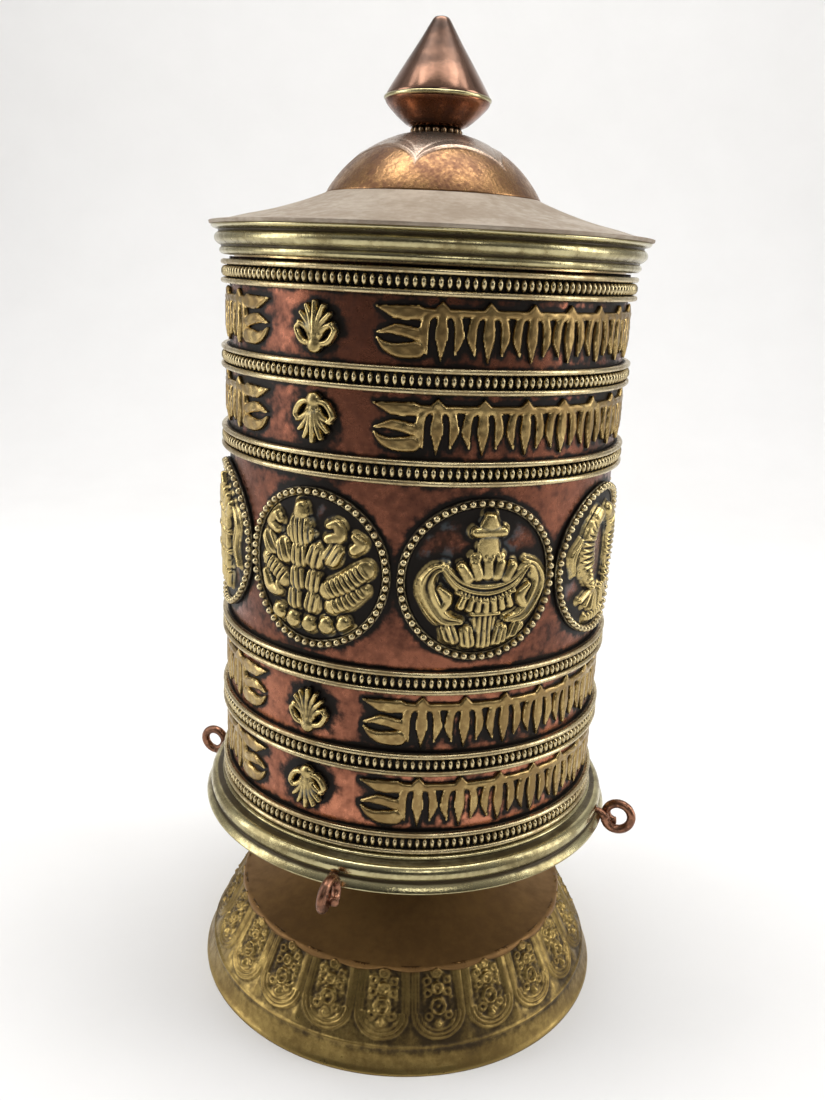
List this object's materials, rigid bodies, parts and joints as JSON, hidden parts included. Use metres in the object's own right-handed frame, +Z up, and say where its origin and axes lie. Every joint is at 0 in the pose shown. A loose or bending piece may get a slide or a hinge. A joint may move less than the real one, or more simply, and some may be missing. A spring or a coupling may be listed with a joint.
{
  "type": "prayer wheel",
  "caption": "Table prayer wheel: a beaded copper drum with friezes and medallions spins on a spindle over a flared embossed stand; lid and finial lift off for the scroll.",
  "frame": {"origin": "on the spindle's axis at the underside of the foot", "axes": "+Z up along the spindle; -Y is the side that faces the viewer"},
  "size_m": [0.1244, 0.1244, 0.2467],
  "materials": {
    "drum_copper": "aged copper sheet, satin",
    "lid_copper": "dull oxidised copper sheet",
    "dome_copper": "worn copper, satin",
    "finial_copper": "polished brown copper",
    "loop_copper": "brown copper wire",
    "moulding_brass": "pale brass, satin",
    "strip_brass": "pale brass beads, dark between",
    "frieze_brass": "antique golden brass",
    "relief_brass": "antique cast brass, black ground",
    "base_brass": "antique embossed brass",
    "neck_brown": "dark brown patinated sheet",
    "bearing_brass": "turned brass",
    "steel": "turned steel",
    "wood": "turned hardwood",
    "paper": "rolled paper",
    "card": "paper tube",
    "cloth": "yellow cotton",
    "ribbon": "red ribbon"
  },
  "bodies": {
    "stand": {"base_skirt": "base_brass", "base_neck": "neck_brown", "base_block": "wood", "spindle": "steel", "spindle_nut": "steel", "spindle_washer": "steel", "neck_collar": "bearing_brass", "thrust_washer": "steel"},
    "drum": {"bead_strip_1": "strip_brass", "bead_strip_2": "strip_brass", "bead_strip_3": "strip_brass", "bead_strip_4": "strip_brass", "bead_strip_5": "strip_brass", "bead_strip_6": "strip_brass", "buds_1": "relief_brass", "buds_2": "relief_brass", "buds_3": "relief_brass", "buds_4": "relief_brass", "drum_floor": "drum_copper", "drum_shell": "drum_copper", "frieze_1": "frieze_brass", "frieze_2": "frieze_brass", "frieze_3": "frieze_brass", "frieze_4": "frieze_brass", "lower_bush": "bearing_brass", "lower_rim": "moulding_brass", "medallion_1": "relief_brass", "medallion_2": "relief_brass", "medallion_3": "relief_brass", "medallion_4": "relief_brass", "medallion_5": "relief_brass", "medallion_6": "relief_brass", "medallion_7": "relief_brass", "medallion_8": "relief_brass", "medallion_ring_1": "strip_brass", "medallion_ring_2": "strip_brass", "medallion_ring_3": "strip_brass", "medallion_ring_4": "strip_brass", "medallion_ring_5": "strip_brass", "medallion_ring_6": "strip_brass", "medallion_ring_7": "strip_brass", "medallion_ring_8": "strip_brass", "prayer_scroll": "paper", "scroll_core": "card", "scroll_ties": "ribbon", "scroll_wrap": "cloth", "turning_loop_1": "loop_copper", "turning_loop_2": "loop_copper", "turning_loop_3": "loop_copper", "turning_loop_4": "loop_copper"},
    "lid": {"lid_cone": "lid_copper", "lid_dome": "dome_copper", "lid_moulding": "moulding_brass", "lid_skirt": "bearing_brass", "lid_bush": "bearing_brass"},
    "finial": {"finial_beads": "strip_brass", "finial_bowl": "finial_copper", "finial_band": "moulding_brass", "finial_cone": "finial_copper", "finial_nut": "bearing_brass"}
  },
  "joints": [
    {"name": "drum_spin", "type": "hinge", "parent": "stand", "child": "drum", "pos_m": [0, 0, 0.05], "axis": [0, 0, 1], "continuous": true},
    {"name": "lid_lift", "type": "slide", "parent": "drum", "child": "lid", "axis": [0, 0, 1], "range_m": [0, 0.055]},
    {"name": "finial_lift", "type": "slide", "parent": "stand", "child": "finial", "axis": [0, 0, 1], "range_m": [0, 0.11]}
  ],
  "couplings": [
    {"joint": "finial_lift", "follows": "lid_lift", "ratio": 2}
  ]
}
